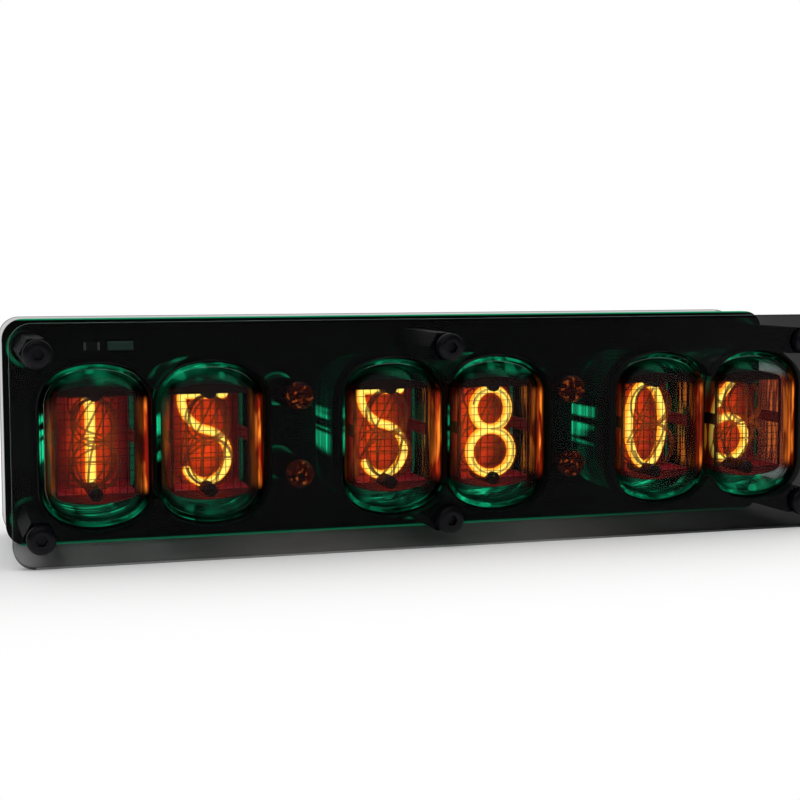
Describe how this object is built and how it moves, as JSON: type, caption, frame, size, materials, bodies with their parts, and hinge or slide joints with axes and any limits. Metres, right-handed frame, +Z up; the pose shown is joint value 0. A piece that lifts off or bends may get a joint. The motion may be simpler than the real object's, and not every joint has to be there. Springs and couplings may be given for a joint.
{
  "type": "nixie tube clock",
  "caption": "Upright glow-tube desk clock: flat-faced oval display tubes and colon lamps on a black board between smoked clear covers on standoffs, with rear setting buttons.",
  "frame": {"origin": "centre of the bounding box's footprint, on the plane of the lower edges that the clock stands on", "axes": "+X to the viewer's right along the row of tubes, -Y towards the viewer, +Z up"},
  "size_m": [0.171, 0.048, 0.0461],
  "materials": {
    "smoked_acrylic": "clear smoked acrylic sheet, polished, with eased edges",
    "black_board": "black solder mask over glass fibre, satin gloss",
    "black_nylon": "black nylon, slightly glossy",
    "black_steel": "blackened steel, satin",
    "tube_glass": "clear pressed glass",
    "tray_metal": "dull nickelled sheet, darkened by heat",
    "cathode_metal": "etched stainless sheet",
    "mesh_metal": "fine etched mesh, dark",
    "dark_ceramic": "dark fired ceramic, dull",
    "tinned_pins": "bright tinned metal",
    "gold_contacts": "gold-flashed brass",
    "lamp_glass": "clear lamp glass with a faint warm tint",
    "led_body": "pale moulded body with a green light",
    "sensor_body": "pale moulded sensor",
    "chip_ceramic": "black glazed chip with plated ends",
    "chip_plastic": "black moulded epoxy, matt",
    "ferrite": "dark grey ferrite",
    "capacitor_sleeve": "dark blue shrink sleeve",
    "capacitor_ceramic": "tan ceramic chip with plated ends",
    "holder_plastic": "black moulded holder",
    "cell_steel": "bright pressed steel",
    "socket_steel": "drawn steel shell",
    "switch_plastic": "dark moulded switch body",
    "button_plastic": "black moulded plunger"
  },
  "bodies": {
    "root": {"front_cover": "smoked_acrylic", "tube_board": "black_board", "rear_cover": "smoked_acrylic", "front_standoffs": "black_nylon", "rear_standoffs": "black_nylon", "front_screws": "black_steel", "rear_screws": "black_steel", "tube_1_glass": "tube_glass", "tube_1_tray": "tray_metal", "tube_1_digits": "cathode_metal", "tube_2_glass": "tube_glass", "tube_2_tray": "tray_metal", "tube_2_digits": "cathode_metal", "tube_3_glass": "tube_glass", "tube_3_tray": "tray_metal", "tube_3_digits": "cathode_metal", "tube_4_glass": "tube_glass", "tube_4_tray": "tray_metal", "tube_4_digits": "cathode_metal", "tube_5_glass": "tube_glass", "tube_5_tray": "tray_metal", "tube_5_digits": "cathode_metal", "tube_6_glass": "tube_glass", "tube_6_tray": "tray_metal", "tube_6_digits": "cathode_metal", "tube_bases": "tube_glass", "tube_meshes": "mesh_metal", "tube_columns": "dark_ceramic", "tube_backplates": "dark_ceramic", "tube_pins": "tinned_pins", "pin_receptacles": "gold_contacts", "colon_lamps": "lamp_glass", "lamp_electrodes": "cathode_metal", "tube_leds": "led_body", "light_sensor": "sensor_body", "front_resistor": "chip_ceramic", "decoder_chip": "chip_plastic", "high_voltage_coil": "ferrite", "high_voltage_capacitor": "capacitor_sleeve", "switching_transistor": "chip_plastic", "clock_crystal": "tinned_pins", "controller_chip": "chip_plastic", "cell_holder": "holder_plastic", "backup_cell": "cell_steel", "voltage_regulator": "chip_plastic", "timekeeper_chip": "chip_plastic", "anode_drivers": "chip_plastic", "anode_resistors": "chip_ceramic", "chip_capacitors": "capacitor_ceramic", "power_socket": "socket_steel", "socket_tongue": "chip_plastic", "button_switches": "switch_plastic", "switch_contacts": "cell_steel"},
    "hour_button": {"hour_button": "button_plastic"},
    "mode_button": {"mode_button": "button_plastic"},
    "minute_button": {"minute_button": "button_plastic"}
  },
  "joints": [
    {"name": "hour_press", "type": "slide", "parent": "root", "child": "hour_button", "axis": [0, -1, 0], "range_m": [0, 0.0003], "stiffness_N_per_m": 2000},
    {"name": "mode_press", "type": "slide", "parent": "root", "child": "mode_button", "axis": [0, -1, 0], "range_m": [0, 0.0003], "stiffness_N_per_m": 2000},
    {"name": "minute_press", "type": "slide", "parent": "root", "child": "minute_button", "axis": [0, -1, 0], "range_m": [0, 0.0003], "stiffness_N_per_m": 2000}
  ]
}
